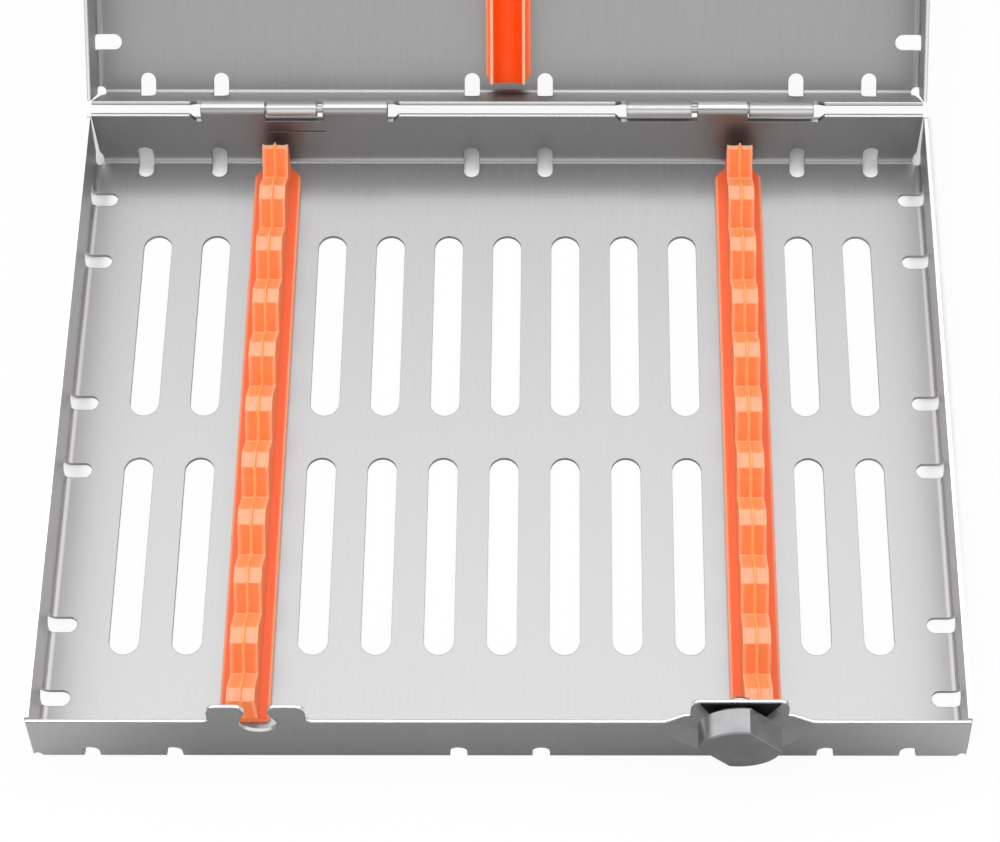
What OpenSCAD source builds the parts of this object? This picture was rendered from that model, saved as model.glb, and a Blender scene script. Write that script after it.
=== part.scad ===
// Instrument cassette: two equal folded-sheet trays that hinge at the back and
// lock at the front with a turning knob in a keyhole. Millimetres, +Z up.
// The origin is the middle of the lower tray's underside. The front is -Y.
// The lid is drawn open. It is the same stamping as the lower tray, turned over.

/* [Tray shell] */
// Outside width of each tray at its rim
tray_w = 182; // [170:1:300]
// Outside depth of each tray
tray_d = 143.6; // [138:0.2:160]
// Height of each tray from its outside face to its rim
half_h = 17.1; // [17:0.1:24]
// Lean of the side walls towards the inside, in degrees
wall_lean = 2.8; // [0:0.1:4]
// Thickness of the stainless sheet
sheet_t = 0.8; // [0.6:0.1:1]
// Inside radius of the folds
bend_r = 1.2; // [0.8:0.1:1.6]
// Open seam between two walls at a corner
seam_gap = 0.15; // [0.1:0.05:0.4]
// Part of a side wall's thickness that the front wall laps over
front_lap = 0.5; // [0.2:0.1:0.8]
// Radius of the relief punched at each corner of the folds
relief_r = 1.3; // [1.1:0.1:1.8]
// Distance of the relief's middle from the inside of the two walls
relief_inset = 0.3; // [0:0.1:0.6]
// Height that the relief reaches up the corner seam
relief_top = 3.7; // [3:0.1:5]
// Gap between the two rims when the cassette is closed
closing_gap = 0.8; // [0.7:0.1:2]

/* [Floor slots] */
// Width of a slot
slot_w = 6.1; // [4:0.1:7]
// Length of a slot over its round ends
slot_l = 45.2; // [30:0.1:50]
// Spacing of the slots across the tray
slot_pitch = 12.65; // [11:0.05:13]
// Solid web between the two rows of slots
slot_web = 10.1; // [9:0.1:14]
// How far the punched pattern sits towards the back
punch_shift = 0.5; // [0:0.1:1]
// The same for the lid, whose pattern sits nearly central
lid_punch_shift = -0.2; // [-0.5:0.1:0.5]

/* [Edge holes] */
// Width of a hole that runs over a fold
edge_hole_w = 3.4; // [2.5:0.1:4]
// Reach of the hole from the outside corner, on the floor and up the wall
edge_hole_reach = 5.4; // [5:0.1:7]
// Spacing of the two holes of a pair
edge_hole_pitch = 16.2; // [12:0.1:18]
// Distance of the outermost hole in the front and back folds from the side
edge_hole_inset = 11; // [10:0.1:13]
// Distance of the outermost hole in the side folds from the front or back
side_hole_inset = 12; // [10:0.1:13]

/* [Hinge] */
// Outside radius of a curled knuckle
knuckle_r = 1.6; // [1.5:0.05:2]
// Running clearance of the pin in a knuckle
pin_clearance = 0.03; // [0.02:0.01:0.06]
// Length of each hinge
hinge_l = 40.4; // [36:0.1:50]
// Distance of a hinge's outer end from the side of the tray
hinge_inset = 24.7; // [20:0.1:27]
// Length of the single middle knuckle
knuckle_l = 10.9; // [9:0.1:13]
// Length of the hinge outside the middle knuckle
knuckle_inset = 14.2; // [12:0.1:16]
// Side gap between neighbouring knuckles at their outer ends
knuckle_gap = 0.3; // [0.2:0.1:0.6]
// Wider side gap at their inner ends, where the pin shows
knuckle_play = 1.3; // [0.6:0.1:2]
// Gap in the rim beside a hinge
hinge_relief_w = 1.2; // [1:0.1:2]
// Run of that gap's sloped outer side
hinge_relief_slope = 1.3; // [0.4:0.1:2]
// Room between a knuckle and the notch below it
notch_clearance = 0.75; // [0.5:0.05:1.4]
// Angle where a knuckle's curl stops
curl_end = 250; // [245:1:265]
// Length of the thin slit below the middle knuckle of the lid
slit_l = 13.2; // [10:0.1:14]
// Width of that slit
slit_w = 0.45; // [0.3:0.05:0.8]
// Drop of that slit below the rim
slit_drop = 5.6; // [4:0.1:8]

/* [Latch] */
// Distance of the knob and of the keyhole from the side of the tray
latch_inset = 44.8; // [40:0.1:46]
// Width of the keyhole ears and of the knob's tab
tab_w = 18.9; // [16:0.1:19]
// Rise of the ears above the closing plane
ear_rise = 6.4; // [6:0.05:7.2]
// Rise of the knob's tab above the closing plane
tab_rise = 6; // [5:0.1:6.2]
// Diameter of the keyhole's round part
keyhole_d = 7.5; // [7.2:0.1:8.5]
// Width of the keyhole's throat
throat_w = 4.5; // [4.4:0.1:5]
// Drop of the keyhole's centre below the closing plane
keyhole_drop = 0.85; // [0.3:0.05:0.9]
// Width of the soft corners on ears and tab
corner_w = 1.9; // [0.8:0.1:2.2]
// Height of those soft corners
corner_h = 2.6; // [1.5:0.1:3]
// Half width of the ears' mouth at their top edge
mouth_half = 3.8; // [3.4:0.1:4.4]
// Fillet where an ear meets the rim
foot_r = 1.4; // [0.4:0.1:1.8]
// Radius at which the pressed dish around the knob leaves the wall
dish_outer_r = 14.4; // [13.8:0.1:14.8]
// Radius of the dish's flat bottom
dish_inner_r = 10.4; // [9.8:0.1:10.8]
// Side clearance between an ear and what it slides between
latch_clearance = 0.3; // [0.25:0.05:0.5]

/* [Knob] */
// Diameter of the knob's head
knob_d = 16.2; // [14:0.1:17]
// Size of the head across its two flats
knob_across = 11.9; // [10:0.1:13]
// Length of the head
knob_l = 5.4; // [4:0.1:7]
// Angle of the head's flats to those of its neck
knob_turn = 37; // [0:1:90]
// Gap between the head and the wall behind it
knob_clearance = 0.35; // [0.25:0.05:0.6]
// Edge chamfer of the head
knob_chamfer = 0.3; // [0.1:0.1:0.6]
// Diameter of the neck
neck_d = 5.4; // [5:0.1:5.5]
// Size of the neck across its flats
neck_across = 3.8; // [3.4:0.1:3.9]
// Diameter of the shank through the tab
shank_d = 3.2; // [2.6:0.1:3.4]
// Running clearance of the shank in the tab, and of the cap on the washer
shank_clearance = 0.05; // [0.03:0.01:0.1]
// Thickness of the friction plate
plate_t = 0.3; // [0.2:0.05:0.5]
// Width of the friction plate at its top
plate_top_w = 15.3; // [12:0.1:16]
// Width of the friction plate at its bottom
plate_bottom_w = 7.2; // [7:0.1:9]
// Height of the friction plate
plate_h = 9; // [8.6:0.1:9.4]
// Distance of the friction plate's top from the tab's top
plate_margin = 0.2; // [0.1:0.1:1]
// Outside diameter of the spring washer
washer_d = 6.2; // [5.6:0.1:7]
// Sheet thickness of the spring washer
washer_t = 0.3; // [0.2:0.05:0.4]
// Height that the washer's cone adds
washer_dish = 0.2; // [0.1:0.05:0.4]
// Diameter of the riveted cap
cap_d = 6.8; // [6.2:0.1:7.4]
// Straight part of the cap
cap_rim = 0.8; // [0.5:0.1:1]
// Height of the cap's dome
cap_dome = 1.5; // [1.2:0.1:1.8]

/* [Lower rails] */
// Distance of each lower rail from the middle
rail_x = 50.6; // [49.6:0.1:51.6]
// Width of a rail's base strip
flange_w = 10; // [9:0.1:11]
// Thickness of that strip
flange_t = 1.5; // [1.2:0.1:2]
// Width of the lower rails' ridge
ridge_w = 5.6; // [5:0.1:6.4]
// Height of the ridge's crests above the strip
crest_h = 8.7; // [7.5:0.1:10]
// Depth of a valley
valley_depth = 4.2; // [3:0.1:5]
// Width of a valley at its top
valley_w = 9.6; // [8:0.1:10]
// Spacing of the valleys
valley_pitch = 13.2; // [12:0.1:13.2]
// Distance of the first valley's middle from the rail's back end
valley_start = 5.8; // [5.2:0.1:6.2]
// Gap between the back wall and the rail's end
rail_back_gap = 3.1; // [2.6:0.1:4]
// Gap between the front wall and the rail's end
rail_front_gap = 6.6; // [6:0.1:8]
// Length of the strip's cut-off shoulders
shoulder_l = 2.2; // [1.5:0.1:3]
// Radius of the strip's front corners
strip_corner_r = 1; // [0.6:0.1:1.6]
// Width of the thin fin along the ridge
fin_w = 0.5; // [0.4:0.05:0.8]
// Height of the fin over the ridge
fin_h = 0.7; // [0.3:0.05:0.9]
// Rounding of the valleys and crests along the rail
wave_round = 0.4; // [0.2:0.1:0.9]
// Diameter of the moulded studs that hold a rail
stud_d = 3; // [2.5:0.1:3.5]
// Spacing of the studs along a rail
stud_pitch = 50; // [40:1:52]
// Clearance of a stud in its hole
stud_clearance = 0.05; // [0.03:0.01:0.1]

/* [Lid rail] */
// Width of the lid rail's ridge
lid_ridge_w = 7.7; // [7:0.1:8.4]
// Height of the lid rail's lips above its strip
lid_ridge_h = 8.5; // [7:0.1:9.5]
// Radius of the trough between the lips
trough_r = 3.2; // [2.4:0.1:3.4]
// Straight depth of the trough above its round bottom
trough_drop = 0.6; // [0.4:0.1:1.2]

/* [Pose] */
// Opening of the lid from closed
lid_open = 137.6; // [0:0.1:180]

/* [Hidden] */
$fn = 64;

fold_r = bend_r + sheet_t;
// Length of a leaning wall above its fold, and how far it stands out there from its rim
side_wall_l = (half_h - fold_r * (1 + sin(wall_lean))) / cos(wall_lean);
lean_run = fold_r * (1 - cos(wall_lean)) + side_wall_l * sin(wall_lean);
floor_w = tray_w + 2 * lean_run;
inner_w = tray_w - 2 * sheet_t;
inner_d = tray_d - 2 * sheet_t;
front_y = -tray_d / 2;
back_y = tray_d / 2;
close_z = half_h + closing_gap / 2;
hinge_y = back_y - sheet_t + knuckle_r;
notch_z = close_z - knuckle_r - notch_clearance;
hinge_to = tray_w / 2 - hinge_inset;
hinge_from = hinge_to - hinge_l;
knuckle_to = hinge_to - knuckle_inset;
knuckle_from = knuckle_to - knuckle_l;
latch_x = tray_w / 2 - latch_inset;
ear_z = close_z + ear_rise;
key_z = close_z - keyhole_drop;
pin_r = knuckle_r - sheet_t - pin_clearance;
pin_chamfer = pin_r / 4;

// The slots that fit between the side walls with half a slot's width of solid sheet
slots_each_side = floor((inner_w / 2 - fold_r - slot_w) / slot_pitch);
slot_row_y = (slot_l + slot_web) / 2;
rail_slot = round(rail_x / slot_pitch);
hole_x = [edge_hole_pitch / 2,
          tray_w / 2 - edge_hole_inset - edge_hole_pitch,
          tray_w / 2 - edge_hole_inset];
hole_y = [edge_hole_pitch / 2,
          tray_d / 2 - side_hole_inset - edge_hole_pitch,
          tray_d / 2 - side_hole_inset];

dish_depth = sheet_t + plate_t + latch_clearance;
tab_face_y = front_y + dish_depth;
tab_back_y = tab_face_y + sheet_t;
knob_back_y = front_y - knob_clearance;
cap_y = tab_back_y + washer_t + washer_dish + shank_clearance;
shank_end_y = cap_y + cap_rim;

rail_front_y = front_y + sheet_t + rail_front_gap;
rail_back_y = back_y - sheet_t - rail_back_gap;
strip_z = sheet_t + flange_t;
crest_z = strip_z + crest_h;
first_valley_y = rail_back_y - valley_start;
// As many valleys as the ridge has room for, with a whole crest at its front end
valley_count = floor((first_valley_y - valley_w / 2 - wave_round - rail_front_y) / valley_pitch) + 1;

// How far cutters reach past what they cut, and joined pieces into each other
past = 1;
joint = 0.5;

// Shapes used by several pieces

// A slot lying along the second axis, centred
module slot_shape(width, length) {
    square([width, length - width], center = true);
    for (end = [-1, 1]) translate([0, end * (length - width) / 2]) circle(d = width);
}

// A box section with rounded lower corners, its underside on the first axis
module round_bottom(width, height, radius) {
    translate([-width / 2, radius]) square([width, height - radius]);
    translate([-width / 2 + radius, 0]) square([width - 2 * radius, radius]);
    for (side = [-1, 1]) translate([side * (width / 2 - radius), radius]) circle(r = radius);
}

// The folded sheet's section from front to back: a floor and two upright walls
module folded_section() {
    difference() {
        round_bottom(tray_d, half_h, fold_r);
        translate([0, sheet_t]) round_bottom(inner_d, half_h, bend_r);
    }
}

// A leaning wall's strip between two distances from the middle of its fold
module leaning_strip(side, from_r, to_r, length) {
    translate([side * (floor_w / 2 - fold_r), fold_r]) rotate(side * wall_lean)
        translate([side > 0 ? from_r : -to_r, 0]) square([to_r - from_r, length]);
}

// What lies within the sheet's section from side to side, up to a radius of its folds
module leaning_box(radius, above) {
    core = floor_w / 2 - fold_r;
    translate([-core, fold_r - radius]) square([2 * core, half_h + above - fold_r + radius]);
    for (side = [-1, 1]) {
        translate([side * core, fold_r]) circle(r = radius);
        leaning_strip(side, 0, radius, side_wall_l + above);
    }
}

// Points of a quarter of a soft corner, from the side to the top edge
function soft_corner(x, z, side, w, h) =
    [for (a = [0 : 15 : 90]) [x - side * w * (1 - cos(a)), z - h * (1 - sin(a))]];

// A tab's outline with soft upper corners
module tab_outline(low_z, top_z) {
    right = soft_corner(tab_w / 2, top_z, 1, corner_w, corner_h);
    left = [for (i = [len(right) - 1 : -1 : 0]) [-right[i][0], right[i][1]]];
    polygon(concat([[-tab_w / 2, low_z], [tab_w / 2, low_z]], right, left));
}

// Turns a drawing in X and Z into a slab that starts at y and grows backwards
module slab(y, thickness) {
    translate([0, y + thickness, 0]) rotate([90, 0, 0]) linear_extrude(height = thickness) children();
}

// Turns a drawing in Y and Z into a bar along X
module bar(from_x, to_x) {
    translate([from_x, 0, 0]) rotate([90, 0, 90]) linear_extrude(height = to_x - from_x) children();
}

// Places a piece of the lid, drawn as if it belonged to the lower tray
module on_lid() {
    translate([0, hinge_y, close_z]) rotate([-lid_open, 0, 0]) translate([0, -hinge_y, -close_z])
        translate([0, 0, 2 * close_z]) rotate([0, 180, 0]) children();
}

// The folded tray

// Floor with all four walls, open at the corner seams. The back wall's ends are upright,
// so those seams widen downwards. The front wall's ends lean with the side walls.
module shell() {
    rotate([90, 0, 0]) linear_extrude(height = tray_d - 2 * fold_r, center = true)
        difference() {
            leaning_box(fold_r, 0);
            leaning_box(bend_r, past);
        }
    rotate([90, 0, 90]) linear_extrude(height = floor_w - 2 * fold_r, center = true)
        folded_section();
    wall_h = half_h - fold_r;
    for (side = [-1, 1]) {
        rotate([90, 0, 0]) linear_extrude(height = inner_d - 2 * seam_gap, center = true)
            leaning_strip(side, bend_r, fold_r, side_wall_l);
    }
    translate([0, back_y - sheet_t / 2, fold_r + wall_h / 2])
        cube([inner_w - 2 * seam_gap, sheet_t, wall_h], center = true);
    front_half = inner_w / 2 + front_lap;
    foot_half = front_half + wall_h * tan(wall_lean);
    slab(front_y, sheet_t)
        polygon([[-foot_half, fold_r], [foot_half, fold_r], [front_half, half_h], [-front_half, half_h]]);
}

// Round relief where two folds meet, narrower where it runs up the seam
module corner_reliefs() {
    for (x = [-1, 1]) for (y = [-1, 1])
        translate([x * (floor_w / 2 - sheet_t - relief_inset), y * (tray_d / 2 - sheet_t - relief_inset), 0])
            rotate_extrude()
                polygon([[0, -past], [relief_r, -past], [relief_r, relief_top - relief_r],
                         [relief_r / 2, relief_top], [0, relief_top]]);
}

// Floor slots, the floor's part of the edge holes, and the rail studs' holes
module floor_cuts(rails, missing, shift) {
    edge_l = edge_hole_reach + past;
    side_l = edge_l + lean_run;
    translate([0, 0, -past]) linear_extrude(height = fold_r + past) {
        for (i = [-slots_each_side : slots_each_side]) for (row = [-1, 1])
            if (len(search(abs(i), missing)) == 0)
                translate([i * slot_pitch, shift + row * slot_row_y]) slot_shape(slot_w, slot_l);
        for (side = [-1, 1]) for (end = [-1, 1]) {
            for (x = hole_x)
                translate([side * x, end * (tray_d / 2 - edge_hole_reach + edge_l / 2)])
                    edge_end(edge_l, end);
            for (y = hole_y)
                translate([side * (tray_w / 2 - edge_hole_reach + side_l / 2), shift + end * y])
                    rotate(-90) edge_end(side_l, side);
        }
        for (x = rails) for (i = [-1, 0, 1])
            translate([x, punch_shift + i * stud_pitch]) circle(d = stud_d + 2 * stud_clearance);
    }
}

// A hole's outline with one round end, on the side away from the wall
module edge_end(length, side) {
    translate([0, side * edge_hole_w / 4])
        square([edge_hole_w, length - edge_hole_w / 2], center = true);
    translate([0, -side * (length - edge_hole_w) / 2]) circle(d = edge_hole_w);
}

// The walls' part of the edge holes, drawn along one wall
module wall_hole_row(places, shift) {
    for (side = [-1, 1]) for (at = places)
        translate([side * at + shift, (edge_hole_reach - past) / 2])
            slot_shape(edge_hole_w, edge_hole_reach + past);
}

module wall_cuts(shift) {
    for (side = [-1, 1]) {
        translate([0, side * (tray_d - fold_r) / 2, 0]) rotate([90, 0, 0])
            linear_extrude(height = fold_r + joint, center = true) wall_hole_row(hole_x, 0);
        translate([side * (floor_w - fold_r) / 2, 0, 0]) rotate([90, 0, 90])
            linear_extrude(height = fold_r + joint, center = true) wall_hole_row(hole_y, shift);
    }
}

// The hinge: a curled knuckle drawn in Y and Z around the pin

module curl_outline() {
    far = 2 * knuckle_r;
    difference() {
        circle(r = knuckle_r);
        circle(r = knuckle_r - sheet_t);
        polygon([[0, 0], [-far, 0], [-far, -far], [far * cos(curl_end), far * sin(curl_end)]]);
    }
    translate([-knuckle_r, notch_z - close_z - joint]) square([sheet_t, close_z - notch_z + joint]);
}

// One knuckle between two places along X
module knuckle(from_x, to_x) {
    translate([0, hinge_y, close_z]) bar(from_x, to_x) curl_outline();
}

// The left hinge of a tray has two outer knuckles, the right one has the middle knuckle
pair_inner = [hinge_from, knuckle_from - knuckle_play];
pair_outer = [knuckle_to + knuckle_gap, hinge_to];

module knuckles() {
    for (span = [pair_inner, pair_outer]) knuckle(-span[1], -span[0]);
    knuckle(knuckle_from, knuckle_to);
}

// Notches in the rim: room for the other tray's knuckles, and the gaps beside a hinge.
// Each has its two ends and the slopes of its sides.
module hinge_notches() {
    steep = hinge_relief_slope / (half_h - notch_z);
    spans = [[-hinge_to - hinge_relief_w, -pair_outer[1], steep, 0],
             [-pair_outer[0], -pair_inner[1], 0, 0],
             [-pair_inner[0], -hinge_from + hinge_relief_w, 0, steep],
             [hinge_from - hinge_relief_w, knuckle_from, steep, 0],
             [knuckle_to, hinge_to + hinge_relief_w, 0, steep]];
    rise = half_h + past - notch_z;
    for (span = spans)
        slab(back_y - sheet_t - joint, sheet_t + 2 * joint)
            polygon([[span[0], notch_z], [span[1], notch_z],
                     [span[1] + span[3] * rise, notch_z + rise],
                     [span[0] - span[2] * rise, notch_z + rise]]);
}

// The latch

// The raised plate of the keyhole, drawn in X and Z around its middle
module ears() {
    tab_outline(half_h - joint, ear_z);
    for (side = [-1, 1]) foot_fillet(side);
}

// The keyhole: a round hole that narrows in straight lines to its throat, and a mouth
// with soft corners above that
module keyhole() {
    key_r = keyhole_d / 2;
    throat_rise = ear_z - corner_h - key_z;
    touch = atan2(throat_rise, throat_w / 2) - acos(key_r / norm([throat_w / 2, throat_rise]));
    side = [key_r * cos(touch), key_z + key_r * sin(touch)];
    mouth = soft_corner(0, ear_z, 1, mouth_half - throat_w / 2, corner_h);
    right = [for (p = mouth) [throat_w / 2 - p[0], p[1]]];
    left = [for (i = [len(right) - 1 : -1 : 0]) [-right[i][0], right[i][1]]];
    translate([0, key_z]) circle(r = key_r);
    polygon(concat([[-side[0], side[1]], side], right,
            [[mouth_half, ear_z + past], [-mouth_half, ear_z + past]], left));
}

// Hollow fillet between the rim and the side of an ear
module foot_fillet(side) {
    difference() {
        translate([side * (tab_w + foot_r - joint) / 2, half_h + (foot_r - joint) / 2])
            square([foot_r + joint, foot_r + joint], center = true);
        translate([side * (tab_w / 2 + foot_r), half_h + foot_r]) circle(r = foot_r);
    }
}

// Section of the pressed dish, turned around the knob's axis. Its depth lies along Z.
module dish_plate() {
    rim_r = dish_outer_r + joint;
    rotate_extrude()
        polygon([[0, dish_depth], [dish_inner_r, dish_depth], [dish_outer_r, 0], [rim_r, 0],
                 [rim_r, sheet_t], [dish_outer_r, sheet_t],
                 [dish_inner_r, dish_depth + sheet_t], [0, dish_depth + sheet_t]]);
}

// The dished wall with the knob's tab standing on it
module knob_tab() {
    reach = dish_outer_r + joint;
    intersection() {
        translate([latch_x, front_y, close_z]) rotate([-90, 0, 0]) dish_plate();
        translate([latch_x, 0, 0]) slab(front_y - past, dish_depth + sheet_t + 2 * past) {
            translate([-reach, 0]) square([2 * reach, half_h]);
            tab_outline(half_h - joint, close_z + tab_rise);
        }
    }
}

// One tray: the rails' places, the slots left out for them and the pattern's shift are
// the only differences
module tray(rails, missing, shift) {
    difference() {
        union() {
            difference() {
                shell();
                translate([latch_x, front_y, close_z]) rotate([-90, 0, 0])
                    cylinder(r = dish_outer_r + joint / 2, h = 2 * fold_r, center = true);
                hinge_notches();
            }
            knob_tab();
            knuckles();
            translate([-latch_x, 0, 0]) slab(front_y, sheet_t) ears();
        }
        corner_reliefs();
        floor_cuts(rails, missing, shift);
        wall_cuts(shift);
        translate([-latch_x, 0, 0]) slab(front_y - joint, sheet_t + 2 * joint) keyhole();
        translate([latch_x, front_y, close_z]) rotate([-90, 0, 0])
            cylinder(d = shank_d + 2 * shank_clearance, h = 2 * (dish_depth + sheet_t), center = true);
    }
}

module base_tray() {
    color([0.72, 0.72, 0.73]) difference() {
        tray([-rail_x, rail_x], [rail_slot], punch_shift);
        translate([-(knuckle_from + knuckle_to - knuckle_play + knuckle_gap) / 2, back_y - sheet_t / 2,
                   half_h - slit_drop])
            rotate([90, 90, 0]) linear_extrude(height = 2 * sheet_t, center = true)
                slot_shape(slit_w, slit_l);
    }
}

module lid_tray() {
    color([0.72, 0.72, 0.73]) on_lid() tray([0], [0], lid_punch_shift);
}

// Hinge pins

module hinge_pin(from_x) {
    length = hinge_to - hinge_from;
    translate([from_x, hinge_y, close_z]) rotate([0, 90, 0]) {
        translate([0, 0, pin_chamfer]) cylinder(r = pin_r, h = length - 2 * pin_chamfer);
        cylinder(r1 = pin_r - pin_chamfer, r2 = pin_r, h = pin_chamfer);
        translate([0, 0, length - pin_chamfer])
            cylinder(r1 = pin_r, r2 = pin_r - pin_chamfer, h = pin_chamfer);
    }
}

module hinge_pin_left() {
    color([0.6, 0.6, 0.62]) hinge_pin(-hinge_to);
}

module hinge_pin_right() {
    color([0.6, 0.6, 0.62]) hinge_pin(hinge_from);
}

// Silicone rails

// One valley's outline from its back edge to its front edge, with rounded turns
function valley(middle_y, top_z) =
    let (half = valley_w / 2, rise = valley_depth / half)
    [[middle_y + half + wave_round, top_z],
     [middle_y + half, top_z - wave_round * rise / 4],
     [middle_y + half - wave_round, top_z - wave_round * rise],
     [middle_y + wave_round, top_z - valley_depth + wave_round * rise],
     [middle_y + wave_round / 2, top_z - valley_depth + wave_round * rise * 0.6],
     [middle_y - wave_round / 2, top_z - valley_depth + wave_round * rise * 0.6],
     [middle_y - wave_round, top_z - valley_depth + wave_round * rise],
     [middle_y - half + wave_round, top_z - wave_round * rise],
     [middle_y - half, top_z - wave_round * rise / 4],
     [middle_y - half - wave_round, top_z]];

// The ridge's side view: crests and valleys over a flat foot
module wave_outline(foot_z, top_z) {
    waves = [for (i = [0 : valley_count - 1]) each valley(first_valley_y - i * valley_pitch, top_z)];
    back = [for (p = waves) if (p[0] < rail_back_y) p];
    polygon(concat([[rail_front_y, foot_z], [rail_back_y, foot_z], [rail_back_y, top_z]],
            back, [[rail_front_y, top_z]]));
}

// The strip's outline seen from above, with cut-off back corners and round front corners
module strip_outline(narrow_w) {
    cut_y = rail_back_y - shoulder_l;
    front_y2 = rail_front_y + strip_corner_r;
    translate([-flange_w / 2, front_y2]) square([flange_w, cut_y - front_y2]);
    polygon([[-flange_w / 2, cut_y], [-narrow_w / 2, rail_back_y],
             [narrow_w / 2, rail_back_y], [flange_w / 2, cut_y]]);
    translate([-flange_w / 2 + strip_corner_r, rail_front_y])
        square([flange_w - 2 * strip_corner_r, strip_corner_r + joint]);
    for (side = [-1, 1])
        translate([side * (flange_w / 2 - strip_corner_r), front_y2]) circle(r = strip_corner_r);
}

// Strip and studs, shared by all rails. The strip lies on the floor.
module rail_foot(narrow_w) {
    translate([0, 0, sheet_t]) linear_extrude(height = flange_t) strip_outline(narrow_w);
    for (i = [-1, 0, 1]) translate([0, punch_shift + i * stud_pitch, 0])
        cylinder(d = stud_d, h = sheet_t + joint);
}

module base_rail() {
    rail_foot(ridge_w);
    bar(-ridge_w / 2, ridge_w / 2) wave_outline(sheet_t, crest_z);
    bar(-fin_w / 2, fin_w / 2) wave_outline(sheet_t, crest_z + fin_h);
}

module base_rail_left() {
    color([1, 0.5, 0.3]) translate([-rail_x, 0, 0]) base_rail();
}

module base_rail_right() {
    color([1, 0.5, 0.3]) translate([rail_x, 0, 0]) base_rail();
}

// The lid rail's section: a block with a trough between two lips
module lip_section() {
    top_z = strip_z + lid_ridge_h;
    lip_w = lid_ridge_w / 2 - trough_r;
    difference() {
        translate([-lid_ridge_w / 2, sheet_t]) square([lid_ridge_w, top_z - sheet_t - lip_w / 2]);
        translate([0, top_z - trough_drop]) circle(r = trough_r);
        translate([-trough_r, top_z - trough_drop]) square([2 * trough_r, trough_drop + past]);
    }
    for (side = [-1, 1])
        translate([side * (lid_ridge_w - lip_w) / 2, top_z - lip_w / 2]) circle(d = lip_w);
}

module lid_rail() {
    color([1, 0.5, 0.3]) on_lid() {
        rail_foot(lid_ridge_w);
        slab(rail_front_y, rail_back_y - rail_front_y) lip_section();
    }
}

// Knob, friction plate, spring washer and riveted cap of one latch.
// They are drawn around the knob's axis, with the front at -Z, and turned into place.

module at_knob() {
    translate([latch_x, 0, close_z]) rotate([-90, 0, 0]) children();
}

// A round bar with two flats
module two_flats(diameter, across) {
    intersection() {
        circle(d = diameter);
        square([across, diameter], center = true);
    }
}

// The head's chamfered round outline, cut by its flats
module knob_head() {
    r = knob_d / 2;
    intersection() {
        rotate_extrude()
            polygon([[0, 0], [r - knob_chamfer, 0], [r, knob_chamfer], [r, knob_l - knob_chamfer],
                     [r - knob_chamfer, knob_l], [0, knob_l]]);
        translate([0, 0, -past]) linear_extrude(height = knob_l + 2 * past)
            square([knob_across, knob_d + past], center = true);
    }
}

module knob() {
    at_knob() {
        translate([0, 0, knob_back_y - knob_l]) rotate(-knob_turn) knob_head();
        translate([0, 0, knob_back_y - joint])
            linear_extrude(height = tab_face_y - shank_clearance - knob_back_y + joint)
                two_flats(neck_d, neck_across);
        translate([0, 0, knob_back_y]) cylinder(d = shank_d, h = shank_end_y - knob_back_y);
    }
}

module friction_plate() {
    top_z = tab_rise - plate_margin;
    translate([latch_x, 0, close_z]) difference() {
        slab(tab_face_y - plate_t, plate_t)
            polygon([[-plate_top_w / 2, top_z], [plate_top_w / 2, top_z],
                     [plate_bottom_w / 2, top_z - plate_h], [-plate_bottom_w / 2, top_z - plate_h]]);
        translate([0, tab_face_y, 0]) rotate([90, 0, 0])
            cylinder(d = neck_d + 4 * shank_clearance, h = 4 * plate_t, center = true);
    }
}

module spring_washer() {
    bore_r = shank_d / 2 + 2 * shank_clearance;
    at_knob() translate([0, 0, tab_back_y]) rotate_extrude()
        polygon([[bore_r, washer_dish], [washer_d / 2, 0], [washer_d / 2, washer_t],
                 [bore_r, washer_dish + washer_t]]);
}

module rivet_cap() {
    r = cap_d / 2;
    dome_r = (r * r + cap_dome * cap_dome) / (2 * cap_dome);
    at_knob() translate([0, 0, cap_y]) difference() {
        union() {
            cylinder(r = r, h = cap_rim);
            intersection() {
                translate([0, 0, cap_rim + cap_dome - dome_r]) sphere(r = dome_r);
                translate([0, 0, cap_rim - joint]) cylinder(r = r, h = cap_dome + 2 * joint);
            }
        }
        translate([0, 0, -past]) cylinder(d = shank_d, h = cap_rim + past);
    }
}

module base_knob() {
    color([0.45, 0.45, 0.47]) knob();
}

module base_friction_plate() {
    color([0.06, 0.06, 0.06]) friction_plate();
}

module base_spring_washer() {
    color([0.6, 0.6, 0.62]) spring_washer();
}

module base_rivet_cap() {
    color([0.6, 0.6, 0.62]) rivet_cap();
}

module lid_knob() {
    color([0.45, 0.45, 0.47]) on_lid() knob();
}

module lid_friction_plate() {
    color([0.06, 0.06, 0.06]) on_lid() friction_plate();
}

module lid_spring_washer() {
    color([0.6, 0.6, 0.62]) on_lid() spring_washer();
}

module lid_rivet_cap() {
    color([0.6, 0.6, 0.62]) on_lid() rivet_cap();
}

base_tray();
lid_tray();
hinge_pin_left();
hinge_pin_right();
base_rail_left();
base_rail_right();
lid_rail();
base_knob();
base_friction_plate();
base_spring_washer();
base_rivet_cap();
lid_knob();
lid_friction_plate();
lid_spring_washer();
lid_rivet_cap();
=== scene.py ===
# %% [markdown]
# # A dental instrument cassette, standing open
# The cassette is two equal trays of folded stainless sheet on a barrel hinge. Silicone
# rails hold the instruments, and a turning knob with a keyhole locks each side. The steel
# parts come finished in shape from the CAD frame. This script gives them their satin
# finish, models the soft rails in full, and sets up the studio.

import math

import bmesh
import bpy
from mathutils import Matrix, Vector


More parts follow.
